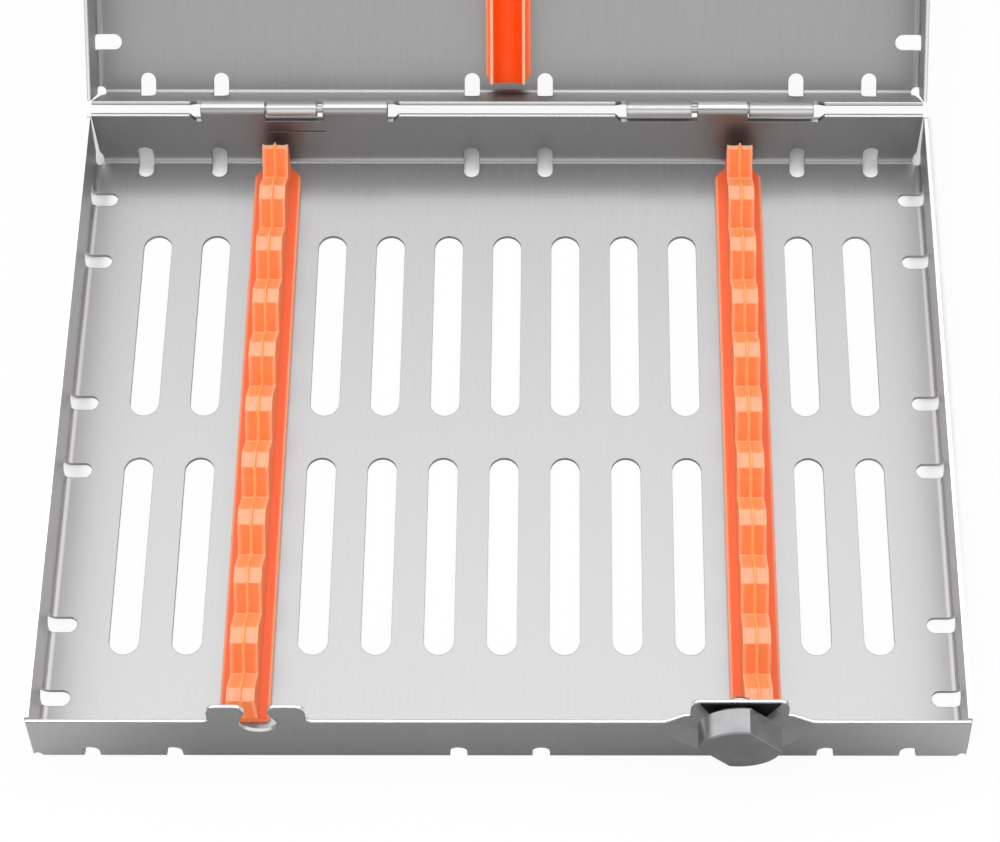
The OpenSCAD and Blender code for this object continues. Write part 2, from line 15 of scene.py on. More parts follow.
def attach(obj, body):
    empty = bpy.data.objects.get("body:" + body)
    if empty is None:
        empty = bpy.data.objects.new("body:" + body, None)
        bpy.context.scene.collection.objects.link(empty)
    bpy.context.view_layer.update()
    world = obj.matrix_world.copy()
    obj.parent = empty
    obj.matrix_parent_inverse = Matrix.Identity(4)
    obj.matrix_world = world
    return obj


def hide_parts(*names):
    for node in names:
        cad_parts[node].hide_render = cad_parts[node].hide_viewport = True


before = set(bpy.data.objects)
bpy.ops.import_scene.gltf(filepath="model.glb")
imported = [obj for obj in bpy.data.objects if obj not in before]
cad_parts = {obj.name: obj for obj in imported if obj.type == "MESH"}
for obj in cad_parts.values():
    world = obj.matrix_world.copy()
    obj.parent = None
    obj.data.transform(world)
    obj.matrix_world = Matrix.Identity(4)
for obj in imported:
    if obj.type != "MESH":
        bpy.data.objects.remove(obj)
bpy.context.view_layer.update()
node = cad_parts
MM = 0.001

# %% [markdown]
# ## Small helpers for modelling by hand
# In the Blender window you click a face, press a key and drag. In a script the same three
# steps are: pick by place, call the operator, give it a value. These helpers do the
# picking. `bmesh` only sets the selection, and all the shaping is done by operators.
# The CAD measures in millimetres and Blender in metres, so `MM` stands in every length.

# %% Helpers: choose an object, pick parts of it, run modifiers
def only(obj):
    """Leave edit mode and make obj the one selected, active object."""
    if bpy.context.object and bpy.context.object.mode != "OBJECT":
        bpy.ops.object.mode_set(mode="OBJECT")
    bpy.ops.object.select_all(action="DESELECT")
    obj.select_set(True)
    bpy.context.view_layer.objects.active = obj


def pick(obj, kind, test):
    """In edit mode, select each vertex, edge or face whose middle, in mm, passes the test."""
    bm = bmesh.from_edit_mesh(obj.data)
    bpy.ops.mesh.select_mode(type={"verts": "VERT", "edges": "EDGE", "faces": "FACE"}[kind])
    bpy.ops.mesh.select_all(action="DESELECT")
    count = 0
    for item in getattr(bm, kind):
        corners = [item.co] if kind == "verts" else [v.co for v in item.verts]
        middle = sum(corners, Vector()) / len(corners) / MM
        if test(middle, item):
            item.select_set(True)
            count += 1
    bm.select_flush_mode()
    bmesh.update_edit_mesh(obj.data)
    return count


def settle(obj):
    """Apply an object's place, turn and size to its mesh."""
    only(obj)
    bpy.ops.object.transform_apply(location=True, rotation=True, scale=True)


def block(name, low, high):
    """A cube between two corners in mm, left in edit mode and ready to be shaped."""
    low, high = Vector(low), Vector(high)
    bpy.ops.mesh.primitive_cube_add(size=1, location=(low + high) / 2 * MM)
    obj = bpy.context.object
    obj.name = name
    obj.scale = (high - low) * MM
    settle(obj)
    bpy.ops.object.mode_set(mode="EDIT")
    return obj


def slice_at(point, normal, drop_outer=False):
    """Cut the whole mesh with a plane. A dropped side is closed with a new face."""
    bpy.ops.mesh.select_all(action="SELECT")
    bpy.ops.mesh.bisect(plane_co=Vector(point) * MM, plane_no=normal,
                        clear_outer=drop_outer, use_fill=drop_outer, threshold=1e-7)


def lower(depth):
    """Move what is selected down, in mm."""
    bpy.ops.transform.translate(value=(0, 0, -depth * MM))


def run_modifiers(obj):
    """Apply each modifier, as the Apply button does."""
    only(obj)
    for modifier in list(obj.modifiers):
        bpy.ops.object.modifier_apply(modifier=modifier.name)


def near(a, b, tolerance=0.02):
    return abs(a - b) < tolerance

# %% [markdown]
# ## Camera
# The photograph is taken with a long lens from high up in front. Its perspective lines
# gave the lens, the 60 degree tilt and the place. The picture was cropped off-centre, so
# the lens is shifted a little to the side instead of the camera being turned.

# %% Camera at the photograph's place
SENSOR_MM = 36.0
LENS_MM = 102.96
CAMERA_AT = (0.01353, -0.29429, 0.52133)
CAMERA_TILT = math.radians(29.844)
CAMERA_ROLL = math.radians(0.06)
LENS_SHIFT = -0.06928

bpy.ops.object.select_all(action="DESELECT")
bpy.ops.object.camera_add(location=CAMERA_AT)
camera = bpy.context.object
camera.name = "photo_camera"
camera.data.sensor_width = SENSOR_MM
camera.data.lens = LENS_MM
camera.data.shift_x = LENS_SHIFT
camera.data.clip_start = 0.05
camera.data.clip_end = 20
camera.matrix_world = (Matrix.Translation(CAMERA_AT) @ Matrix.Rotation(CAMERA_TILT, 4, "X")
                       @ Matrix.Rotation(CAMERA_ROLL, 4, "Z"))
bpy.context.scene.camera = camera
bpy.context.scene.view_settings.view_transform = "Standard"
print("camera stands", round(CAMERA_AT[2] / MM), "mm above the floor")

# %% [markdown]
# ## Silicone rails
# Each lower rail is one moulding: a flat strip, and on it a narrow ridge with ten valleys
# that hold the instruments. The ridge has soft lips along both edges, a shallow trough
# inside them and a thin fin along the middle. One valley is modelled and an Array
# repeats it, so all ten are the same, and the ends are cut and closed afterwards.

# %% Sizes of the lower rails, in mm, as in the CAD
FLOOR_TOP = 0.8
STRIP_TOP = 2.3
STRIP_HALF = 5.0
CREST_Z = 11.0
VALLEY_DEPTH = 4.2
VALLEY_HALF = 4.8
VALLEY_PITCH = 13.2
VALLEY_COUNT = 10
FIRST_VALLEY_Y = 62.1
RIDGE_HALF = 2.8
RAIL_BACK_Y = 67.9
RAIL_FRONT_Y = -64.4
SHOULDER = 2.2
FIN_HALF = 0.25
FIN_FOOT = 0.3
FIN_RISE = 0.7
FIN_NARROWED = 0.6
LIP = 0.55
LIP_ROUND = 0.22
TROUGH_SINK = 0.22
TROUGH_MIDDLE = 1.5
MIDDLE_DEEPER = 0.4
ROOT = 0.6
TURN = 0.3
STRIP_CORNER = 0.8
STRIP_ROUND = 0.3
FOOT_ROUND = 0.35
STUD_RADIUS = 1.5
STUD_LENGTH = 1.4
STUD_ROUND = 0.2
STUD_AT_Y = (-49.5, 0.5, 50.5)


def valley_drop(y):
    """How far the ridge's top lies below its crest, at y from the valley's middle."""
    slope = VALLEY_DEPTH / VALLEY_HALF
    away = abs(y)
    if away < TURN:
        return VALLEY_DEPTH - slope * (TURN + away * away / TURN) / 2
    if away > VALLEY_HALF - TURN:
        part = max(VALLEY_HALF + TURN - away, 0) / (2 * TURN)
        return slope * TURN * part ** 2
    return VALLEY_DEPTH - slope * away


turns = [TURN * k / 3 for k in range(4)]
crest_turns = [VALLEY_HALF + TURN * k / 3 for k in range(-3, 4)]
rows = sorted({round(s * y, 3) for s in (-1, 1) for y in turns + [VALLEY_HALF / 2] + crest_turns})
print("rows across one valley:", len(rows), "deepest:", round(valley_drop(0), 2), "mm")

# %% One valley of the ridge
def ridge_unit():
    half = VALLEY_PITCH / 2
    unit = block("ridge", (-RIDGE_HALF, -half, STRIP_TOP - ROOT), (RIDGE_HALF, half, CREST_Z))
    pick(unit, "faces", lambda m, f: abs(f.normal.y) > 0.9)
    bpy.ops.mesh.delete(type="ONLY_FACE")
    for x in (FIN_HALF, FIN_HALF + FIN_FOOT, TROUGH_MIDDLE,
              RIDGE_HALF - LIP, RIDGE_HALF - LIP / 2):
        for side in (-1, 1):
            slice_at((side * x, 0, 0), (1, 0, 0))
    for y in rows:
        slice_at((0, y, 0), (0, 1, 0))
    for y in rows:
        pick(unit, "verts", lambda m, v: m.z > CREST_Z - 0.1 and near(m.y, y))
        lower(valley_drop(y))
    pick(unit, "verts", lambda m, v: m.z > STRIP_TOP + 1 and abs(m.x) < RIDGE_HALF - LIP + 0.1
         and abs(m.x) > FIN_HALF + 0.1)
    lower(TROUGH_SINK)
    pick(unit, "verts", lambda m, v: m.z > STRIP_TOP + 1 and near(abs(m.x), TROUGH_MIDDLE))
    lower(TROUGH_SINK * MIDDLE_DEEPER)
    return unit


def raise_fin(unit):
    """Extrude the middle strip of the top into the fin and make its crown narrower."""
    pick(unit, "faces", lambda m, f: f.normal.z > 0.3 and abs(m.x) < FIN_HALF)
    bpy.ops.mesh.extrude_region_move(TRANSFORM_OT_translate={"value": (0, 0, FIN_RISE * MM)})
    bpy.ops.transform.resize(value=(FIN_NARROWED, 1, 1), center_override=(0, 0, 0))
    # The extrusion closed the fin at both ends, and the Array needs them open.
    end = VALLEY_PITCH / 2
    pick(unit, "faces", lambda m, f: near(abs(m.y), end, 0.01) and abs(f.normal.y) > 0.9)
    bpy.ops.mesh.delete(type="ONLY_FACE")


unit = ridge_unit()
raise_fin(unit)
pick(unit, "edges", lambda m, e: m.z > STRIP_TOP + 1 and near(abs(m.x), RIDGE_HALF, 0.01)
     and abs(e.verts[0].co.y - e.verts[1].co.y) > 1e-5)
bpy.ops.mesh.bevel(offset=LIP_ROUND * MM, segments=3, affect="EDGES")
bpy.ops.object.mode_set(mode="OBJECT")
print("one valley has", len(unit.data.polygons), "faces")

# %% Ten valleys, with both ends closed
def long_ridge(ridge):
    """Repeat one valley, lengthen the front end, cut the back end and close both."""
    ridge.location.y = FIRST_VALLEY_Y * MM
    settle(ridge)
    array = ridge.modifiers.new("ten valleys", "ARRAY")
    array.count = VALLEY_COUNT
    array.use_relative_offset = False
    array.use_constant_offset = True
    array.constant_offset_displace = (0, -VALLEY_PITCH * MM, 0)
    array.use_merge_vertices = True
    array.merge_threshold = 0.01 * MM
    run_modifiers(ridge)
    bpy.ops.object.mode_set(mode="EDIT")
    last = FIRST_VALLEY_Y - (VALLEY_COUNT - 0.5) * VALLEY_PITCH
    pick(ridge, "edges", lambda m, e: near(m.y, last, 0.01) and e.is_boundary)
    bpy.ops.mesh.extrude_region_move(TRANSFORM_OT_translate={
        "value": (0, (RAIL_FRONT_Y - last) * MM, 0)})
    bpy.ops.mesh.edge_face_add()
    slice_at((0, RAIL_BACK_Y, 0), (0, 1, 0), drop_outer=True)
    bpy.ops.mesh.select_all(action="SELECT")
    bpy.ops.mesh.normals_make_consistent(inside=False)
    bpy.ops.object.mode_set(mode="OBJECT")
    return ridge


ridge = long_ridge(unit)
print("ridge faces:", len(ridge.data.polygons))

# %% [markdown]
# The strip is a flat bar with cut-off shoulders at the back. Studs under it snap through
# holes in the tray's floor. Boolean joins strip, studs and ridge into one closed skin,
# as a moulding is, because light travels inside silicone and would show inner walls.

# %% Strip with shoulders and studs
def rail_strip(name, narrow_half):
    strip = block(name, (-STRIP_HALF, RAIL_FRONT_Y, FLOOR_TOP),
                  (STRIP_HALF, RAIL_BACK_Y, STRIP_TOP))
    run = STRIP_HALF - narrow_half
    for side in (-1, 1):
        slice_at((side * narrow_half, RAIL_BACK_Y, 0), (side * SHOULDER, run, 0),
                 drop_outer=True)
    pick(strip, "edges", lambda m, e: abs(e.verts[0].co.z - e.verts[1].co.z) > 1e-4)
    bpy.ops.mesh.bevel(offset=STRIP_CORNER * MM, segments=4, affect="EDGES")
    pick(strip, "edges", lambda m, e: near(m.z, STRIP_TOP, 0.01))
    bpy.ops.mesh.bevel(offset=STRIP_ROUND * MM, segments=3, affect="EDGES")
    bpy.ops.object.mode_set(mode="OBJECT")
    return strip


def rail_stud(y):
    bpy.ops.mesh.primitive_cylinder_add(vertices=40, radius=STUD_RADIUS * MM,
                                        depth=STUD_LENGTH * MM,
                                        location=(0, y * MM, STUD_LENGTH / 2 * MM))
    stud = bpy.context.object
    settle(stud)
    bpy.ops.object.mode_set(mode="EDIT")
    pick(stud, "edges", lambda m, e: near(e.verts[0].co.z / MM, 0)
         and near(e.verts[1].co.z / MM, 0))
    bpy.ops.mesh.bevel(offset=STUD_ROUND * MM, segments=2, affect="EDGES")
    bpy.ops.object.mode_set(mode="OBJECT")
    return stud


def join_moulding(body, extras):
    """Boolean union of the extras into the body, one after another."""
    for extra in extras:
        union = body.modifiers.new("join", "BOOLEAN")
        union.operation = "UNION"
        union.solver = "MANIFOLD"
        union.object = extra
        run_modifiers(body)
        bpy.data.objects.remove(extra)
    return body


strip = rail_strip("rail_strip", RIDGE_HALF)
lower_rail = join_moulding(ridge, [strip] + [rail_stud(y) for y in STUD_AT_Y])
print("lower rail faces after joining:", len(lower_rail.data.polygons))

# %% Soft foot where the ridge stands on the strip
def soften_foot(rail, ridge_half, offset):
    bpy.ops.object.mode_set(mode="EDIT")
    found = pick(rail, "edges", lambda m, e: near(m.z, STRIP_TOP, 0.01)
                 and near(abs(m.x), ridge_half, 0.01)
                 and RAIL_FRONT_Y + 1 < m.y < RAIL_BACK_Y - 0.6)
    if found:
        bpy.ops.mesh.bevel(offset=offset * MM, segments=2, affect="EDGES")
    bpy.ops.object.mode_set(mode="OBJECT")
    return found


only(lower_rail)
print("foot edges softened:", soften_foot(lower_rail, RIDGE_HALF, FOOT_ROUND))

# %% [markdown]
# ## Lid rail
# The rail in the lid presses on the instruments from above. It has no valleys: its ridge
# is a long gutter with two thin lips. A block is sliced lengthwise, and each line of its
# top is lowered on to a circle. It is modelled lying like a lower rail and then turned
# with the lid, about the same hinge axis as in the CAD.

# %% Gutter ridge of the lid rail
LID_RIDGE_HALF = 3.85
LID_RIDGE_RISE = 8.5
LIP_TOP_Z = STRIP_TOP + LID_RIDGE_RISE
TROUGH_RADIUS = 3.2
TROUGH_DROP = 0.6
GUTTER_STEPS = 8
GUTTER_LIP_ROUND = 0.2
LID_FOOT_ROUND = 0.3


def gutter_ridge():
    ridge = block("gutter", (-LID_RIDGE_HALF, RAIL_FRONT_Y, STRIP_TOP - ROOT),
                  (LID_RIDGE_HALF, RAIL_BACK_Y, LIP_TOP_Z))
    lines = [TROUGH_RADIUS * math.sin(math.radians(a))
             for a in [90 - 90 * i / GUTTER_STEPS for i in range(GUTTER_STEPS + 1)]]
    for x in lines:
        for side in ((-1, 1) if x > 0 else (1,)):
            slice_at((side * x, 0, 0), (1, 0, 0))
    for x in lines:
        fall = TROUGH_DROP + math.sqrt(max(TROUGH_RADIUS ** 2 - x ** 2, 0))
        pick(ridge, "verts", lambda m, v: near(m.z, LIP_TOP_Z) and near(abs(m.x), x, 0.005)
             and x < TROUGH_RADIUS - 0.001)
        lower(fall)
    pick(ridge, "edges", lambda m, e: near(m.z, LIP_TOP_Z) and abs(m.x) > TROUGH_RADIUS - 0.1
         and abs(e.verts[0].co.y - e.verts[1].co.y) > 0.01)
    bpy.ops.mesh.bevel(offset=GUTTER_LIP_ROUND * MM, segments=3, affect="EDGES")
    bpy.ops.object.mode_set(mode="OBJECT")
    return ridge


gutter = gutter_ridge()
lid_strip = rail_strip("lid_strip", LID_RIDGE_HALF)
lid_rail = join_moulding(gutter, [lid_strip] + [rail_stud(y) for y in STUD_AT_Y])
only(lid_rail)
print("lid rail faces:", len(lid_rail.data.polygons),
      "foot edges:", soften_foot(lid_rail, LID_RIDGE_HALF, LID_FOOT_ROUND))

# %% [markdown]
# ## Put the rails in place
# The colour of clear orange silicone depends on how thick it is, so each point keeps
# where it lies in its own rail, as an attribute. The lid's rail is then turned over and
# swung open with the lid, and the attribute still says where its lips and gutter are.

# %% Attribute, copies and placing
RAIL_X = 50.6
HINGE_Y = 72.6
HINGE_Z = 17.5
LID_OPEN = math.radians(137.6)
SMOOTH_BELOW = math.radians(32)


def keep_rail_place(rail):
    """Store each point's place in its rail, in mm, as the attribute 'in_rail'."""
    layer = rail.data.attributes.new("in_rail", "FLOAT_VECTOR", "POINT")
    for spot, vertex in zip(layer.data, rail.data.vertices):
        spot.vector = vertex.co / MM


def finish_piece(piece, name, matrix):
    piece.name = piece.data.name = name
    piece.matrix_world = matrix
    settle(piece)
    bpy.ops.object.shade_smooth_by_angle(angle=SMOOTH_BELOW)


def lid_turn():
    """From a place in the lower tray to the same place in the open lid."""
    hinge = Matrix.Translation((0, HINGE_Y * MM, HINGE_Z * MM))
    over = Matrix.Translation((0, 0, 2 * HINGE_Z * MM)) @ Matrix.Rotation(math.pi, 4, "Y")
    return hinge @ Matrix.Rotation(-LID_OPEN, 4, "X") @ hinge.inverted() @ over


for rail in (lower_rail, lid_rail):
    keep_rail_place(rail)
other_rail = lower_rail.copy()
other_rail.data = lower_rail.data.copy()
bpy.context.scene.collection.objects.link(other_rail)
finish_piece(lower_rail, "left_wave_rail", Matrix.Translation((-RAIL_X * MM, 0, 0)))
finish_piece(other_rail, "right_wave_rail", Matrix.Translation((RAIL_X * MM, 0, 0)))
finish_piece(lid_rail, "lid_gutter_rail", lid_turn())
for piece, body, stands_for in ((lower_rail, "base", "base_rail_left"),
                                (other_rail, "base", "base_rail_right"),
                                (lid_rail, "lid", "lid_rail")):
    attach(piece, body)
    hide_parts(stands_for)
    print(piece.name, "faces:", len(piece.data.polygons))

# %% [markdown]
# ## Helpers for materials
# A material here is a short list of nodes. `Nodes` adds a node, sets its inputs by name
# and links what it is given, so that each finish reads as a recipe.

# %% Node helper
class Nodes:
    """Adds nodes to a tree. An input given as a socket is linked, any other value is set."""

    def __init__(self, tree):
        self.tree = tree

    def add(self, kind, inputs=None, **settings):
        made = self.tree.nodes.new(kind)
        for key, value in settings.items():
            setattr(made, key, value)
        for key, value in (inputs or {}).items():
            if isinstance(value, bpy.types.NodeSocket):
                self.tree.links.new(value, made.inputs[key])
            else:
                made.inputs[key].default_value = value
        return made

    def math(self, operation, a, b=0.0, c=0.0):
        return self.add("ShaderNodeMath", {0: a, 1: b, 2: c}, operation=operation).outputs[0]

    def fade(self, value, low, high, to_low=0.0, to_high=1.0):
        """A smooth step of a value from one level to another."""
        return self.add("ShaderNodeMapRange",
                        {"Value": value, "From Min": low, "From Max": high,
                         "To Min": to_low, "To Max": to_high},
                        interpolation_type="SMOOTHSTEP").outputs[0]

    def mix(self, factor, a, b):
        """Mix two colours, which are the node's inputs 6 and 7."""
        return self.add("ShaderNodeMix", {0: factor, 6: a, 7: b}, data_type="RGBA").outputs[2]


def edge_mask(kit, radius, rounded_at=0.9):
    """The normal that the Bevel node finds, and a mask that is 1 where an edge is near."""
    soft = kit.add("ShaderNodeBevel", {"Radius": radius}, samples=6).outputs[0]
    true = kit.add("ShaderNodeNewGeometry").outputs["True Normal"]
    lean = kit.add("ShaderNodeVectorMath", {0: soft, 1: true},
                   operation="DOT_PRODUCT").outputs["Value"]
    return soft, kit.fade(lean, 0.995, rounded_at)


def new_material(name):
    """An empty material, and the Nodes that fill it."""
    material = bpy.data.materials.new(name)
    material.use_nodes = True
    material.node_tree.nodes.clear()
    return material, Nodes(material.node_tree)


def new_group(name, inputs, outputs):
    group = bpy.data.node_groups.new(name, "ShaderNodeTree")
    for way, sockets in (("INPUT", inputs), ("OUTPUT", outputs)):
        for label, kind in sockets:
            group.interface.new_socket(label, in_out=way, socket_type=kind)
    kit = Nodes(group)
    return group, kit, kit.add("NodeGroupInput"), kit.add("NodeGroupOutput")


def finish_nodes(kit, shader, kind="ShaderNodeOutputMaterial"):
    """Link the last shader to the output of a material or of the world."""
    kit.tree.links.new(shader.outputs[0], kit.add(kind).inputs[0])


def wear(obj, material):
    """Give the whole object one material."""
    obj.data.materials.clear()
    obj.data.materials.append(material)

# %% [markdown]
# ## Brushed sheet
# The sheet was brushed flat, before it was folded. So the hairlines run front to back on
# the floor, turn up the front and back walls, and lie along the side walls. A noise that is
# stretched along one direction makes hairlines. The direction across them is x on the
# floor and the front and back walls, and z on the side walls.

# %% Group: hairlines of brushed sheet
def brushed_group():
    group, kit, given, out = new_group(
        "brushed hairlines",
        [("Place", "NodeSocketVector"), ("Normal", "NodeSocketVector")],
        [("Lines", "NodeSocketFloat"), ("Cloud", "NodeSocketFloat")])
    place = kit.add("ShaderNodeSeparateXYZ", {0: given.outputs["Place"]})
    facing = kit.add("ShaderNodeSeparateXYZ", {0: given.outputs["Normal"]})
    sideways = kit.fade(kit.math("ABSOLUTE", facing.outputs[0]), 0.6, 0.8)
    across = kit.add("ShaderNodeMix", {0: sideways, 2: place.outputs[0], 3: place.outputs[2]},
                     data_type="FLOAT").outputs[0]
    along = kit.math("ADD", kit.math("MULTIPLY", place.outputs[1], 0.05),
                     kit.math("MULTIPLY", place.outputs[2],
                              kit.fade(sideways, 0, 1, 0.05, 0.0)))
    spot = kit.add("ShaderNodeCombineXYZ", {0: across, 1: along})
    fine = kit.add("ShaderNodeTexNoise", {"Vector": spot.outputs[0], "Scale": 3600.0,
                                          "Detail": 3.0, "Roughness": 0.6})
    broad = kit.add("ShaderNodeTexNoise", {"Vector": spot.outputs[0], "Scale": 900.0,
                                           "Detail": 2.0, "Roughness": 0.5})
    cloud = kit.add("ShaderNodeTexNoise", {"Vector": given.outputs["Place"], "Scale": 26.0,
                                           "Detail": 2.0})
    lines = kit.math("ADD", kit.math("MULTIPLY", fine.outputs[0], 0.65),
                     kit.math("MULTIPLY", broad.outputs[0], 0.35))
    kit.tree.links.new(lines, out.inputs["Lines"])
    kit.tree.links.new(cloud.outputs[0], out.inputs["Cloud"])
    return group


BRUSHED = brushed_group()
print("group:", BRUSHED.name)

# %% [markdown]
# The Bevel node looks a little way round each point. Where the normal that it finds leans away
# from the true one, an edge is near, and that difference is a mask. Near the punched edges the
# colour is a little darker than the satin faces, a painted shade line. The flat top of each
# tray's sheared rim is painted white, a painted highlight, and a painted dark reflection lines
# its front edge. The knuckles are painted brighter than the faces, a painted sheen where the
# sheet curls.

# %% Material: satin stainless sheet
RIM_Z = 17.1 * MM
KNUCKLE_Y = 71.8 * MM
SATIN_DARK = (0.49, 0.485, 0.487, 1)
SATIN_LIGHT = (0.53, 0.525, 0.527, 1)
SATIN_CLOUD = (0.49, 0.485, 0.49, 1)
# The next four colours are painted light and shade: a painted sheen on the knuckles, a painted
# shade line at the edges, a painted highlight on the rim top and a painted dark reflection along
# the rim's front edge.
KNUCKLE_PAINTED_SHEEN = (0.8, 0.79, 0.79, 1)
EDGE_PAINTED_SHADE = (0.33, 0.33, 0.34, 1)
RIM_PAINTED_HIGHLIGHT = (0.97, 0.97, 0.97, 1)
ARRIS_PAINTED_DARK_REFLECTION = (0.03, 0.03, 0.032, 1)


def sheet_steel(name, tray):
    """Satin sheet. The matrix says where the tray stands, so that both trays share a space."""
    material, kit = new_material(name)
    home = tray.inverted()
    coords = kit.add("ShaderNodeTexCoord")
    turn = {"Rotation": tuple(home.to_euler())}
    place = kit.add("ShaderNodeMapping", {0: coords.outputs["Object"],
                                          "Location": tuple(home.translation), **turn},
                    vector_type="POINT").outputs[0]
    facing = kit.add("ShaderNodeMapping", {0: coords.outputs["Normal"], **turn},
                     vector_type="NORMAL").outputs[0]
    lines = kit.add("ShaderNodeGroup", node_tree=BRUSHED)
    kit.tree.links.new(place, lines.inputs["Place"])
    kit.tree.links.new(facing, lines.inputs["Normal"])
    spot = kit.add("ShaderNodeSeparateXYZ", {0: place})
    rounding = kit.fade(spot.outputs[2], RIM_Z - 1.4 * MM, RIM_Z - 0.5 * MM, 0.2 * MM, 0.55 * MM)
    soft, rim = edge_mask(kit, rounding)
    look = kit.add("ShaderNodeSeparateXYZ", {0: facing})
    # The flat top of the rim, short of the knuckles, is painted near white: a painted highlight.
    cut = kit.math("MULTIPLY", kit.fade(spot.outputs[2], RIM_Z - 0.08 * MM, RIM_Z - 0.03 * MM),
                   kit.fade(kit.math("ABSOLUTE", look.outputs[1]), 0.6, 0.4))
    cut = kit.math("MULTIPLY", cut, kit.fade(spot.outputs[1], KNUCKLE_Y, KNUCKLE_Y - MM))
    grain = kit.fade(lines.outputs["Lines"], 0.3, 0.7)
    satin = kit.mix(grain, SATIN_DARK, SATIN_LIGHT)
    satin = kit.mix(kit.fade(lines.outputs["Cloud"], 0.3, 0.75, 0.0, 0.2), satin, SATIN_CLOUD)
    # The knuckles are painted brighter than the faces: a painted sheen for their highlight.
    knuckle_sheen = kit.fade(spot.outputs[1], KNUCKLE_Y, KNUCKLE_Y + 0.1 * MM)
    satin = kit.mix(knuckle_sheen, satin, KNUCKLE_PAINTED_SHEEN)
    # Near every edge the colour is painted darker: a painted shade line along the punched edges.
    colour = kit.mix(kit.math("MULTIPLY", rim, 0.8), satin, EDGE_PAINTED_SHADE)
    colour = kit.mix(cut, colour, RIM_PAINTED_HIGHLIGHT)
    # Where the rounded rim edge leans to the front, a dark line is painted: a painted dark
    # reflection.
    rounded = kit.add("ShaderNodeVectorTransform", {0: soft}, vector_type="NORMAL",
                      convert_from="WORLD", convert_to="OBJECT").outputs[0]
    rounded = kit.add("ShaderNodeMapping", {0: rounded, **turn}, vector_type="NORMAL").outputs[0]
    ahead = kit.add("ShaderNodeSeparateXYZ", {0: rounded}).outputs[1]
    arris_dark_reflection = kit.fade(ahead, -0.08, -0.2)
    for mask in (kit.fade(spot.outputs[2], RIM_Z - 0.25 * MM, RIM_Z - 0.2 * MM),
                 kit.fade(look.outputs[2], 0.5, 0.7),
                 kit.fade(spot.outputs[1], KNUCKLE_Y - 1.5 * MM, KNUCKLE_Y - 2.5 * MM)):
        arris_dark_reflection = kit.math("MULTIPLY", arris_dark_reflection, mask)
    colour = kit.mix(arris_dark_reflection, colour, ARRIS_PAINTED_DARK_REFLECTION)
    rough = kit.math("ADD", 0.36, kit.math("MULTIPLY", grain, 0.05))
    rough = kit.math("SUBTRACT", rough, kit.math("MULTIPLY", cut, 0.15))
    bump = kit.add("ShaderNodeBump", {"Height": lines.outputs["Lines"], "Strength": 0.07,
                                      "Distance": 0.02 * MM, "Normal": soft})
    shader = kit.add("ShaderNodeBsdfPrincipled", {
        "Base Color": colour, "Roughness": rough, "Normal": bump.outputs[0], "Metallic": 1.0})
    finish_nodes(kit, shader)
    return material


base_steel = sheet_steel("satin sheet, base", Matrix.Identity(4))
lid_steel = sheet_steel("satin sheet, lid", lid_turn())
wear(node["base_tray"], base_steel)
wear(node["lid_tray"], lid_steel)
print("materials:", base_steel.name, "and", lid_steel.name)

# %% [markdown]
# ## Turned steel
# Knobs and caps are turned from bar. Turning leaves fine rings round the axis, so the
# noise reads the distance from each part's own axis. The pins are drawn wire and the
# washers are stamped, but they hardly show, so they share this recipe.

# %% Material: turned and lightly polished steel
KNOB_TINT = (0.32, 0.32, 0.33)
CAP_TINT = (0.7, 0.7, 0.7)
PIN_TINT = (0.62, 0.62, 0.63)
# A painted highlight colour for the turned edges.
EDGE_PAINTED_HIGHLIGHT = (0.9, 0.9, 0.9, 1)
TURNED_EDGE = 0.18 * MM
CAP_ROUGHNESS = 0.22
LATCH_X = 46.2


def turned_steel(name, centre, tint, axis_turn=0.0, rough=0.3):
    material, kit = new_material(name)
    coords = kit.add("ShaderNodeTexCoord")
    local = kit.add("ShaderNodeMapping", {0: coords.outputs["Object"],
                                          "Location": centre,
                                          "Rotation": (axis_turn, 0, 0)}, vector_type="TEXTURE")
    part = kit.add("ShaderNodeSeparateXYZ", {0: local.outputs[0]})
    radius = kit.math("SQRT", kit.math("ADD", kit.math("POWER", part.outputs[0], 2.0),
                                       kit.math("POWER", part.outputs[2], 2.0)))
    rings = kit.add("ShaderNodeCombineXYZ", {0: radius, 1: part.outputs[1]})
    fine = kit.add("ShaderNodeTexNoise", {"Vector": rings.outputs[0], "Scale": 3200.0,
                                          "Detail": 2.0})
    cloud = kit.add("ShaderNodeTexNoise", {"Vector": local.outputs[0], "Scale": 160.0,
                                           "Detail": 3.0})
    soft, rim = edge_mask(kit, TURNED_EDGE, rounded_at=0.85)
    dark = tuple(c * 0.9 for c in tint) + (1,)
    light = tuple(min(c * 1.12, 1) for c in tint) + (1,)
    colour = kit.mix(kit.fade(cloud.outputs[0], 0.35, 0.7), dark, light)
    # Near every edge the colour is painted brighter: a painted highlight on the turned edges.
    colour = kit.mix(kit.math("MULTIPLY", rim, 0.6), colour, EDGE_PAINTED_HIGHLIGHT)
    roughness = kit.math("ADD", rough - 0.05, kit.math("MULTIPLY", fine.outputs[0], 0.1))
    bump = kit.add("ShaderNodeBump", {"Height": fine.outputs[0], "Strength": 0.15,
                                      "Distance": 0.01 * MM, "Normal": soft})
    shader = kit.add("ShaderNodeBsdfPrincipled", {
        "Base Color": colour, "Roughness": roughness, "Normal": bump.outputs[0],
        "Metallic": 1.0})
    finish_nodes(kit, shader)
    return material


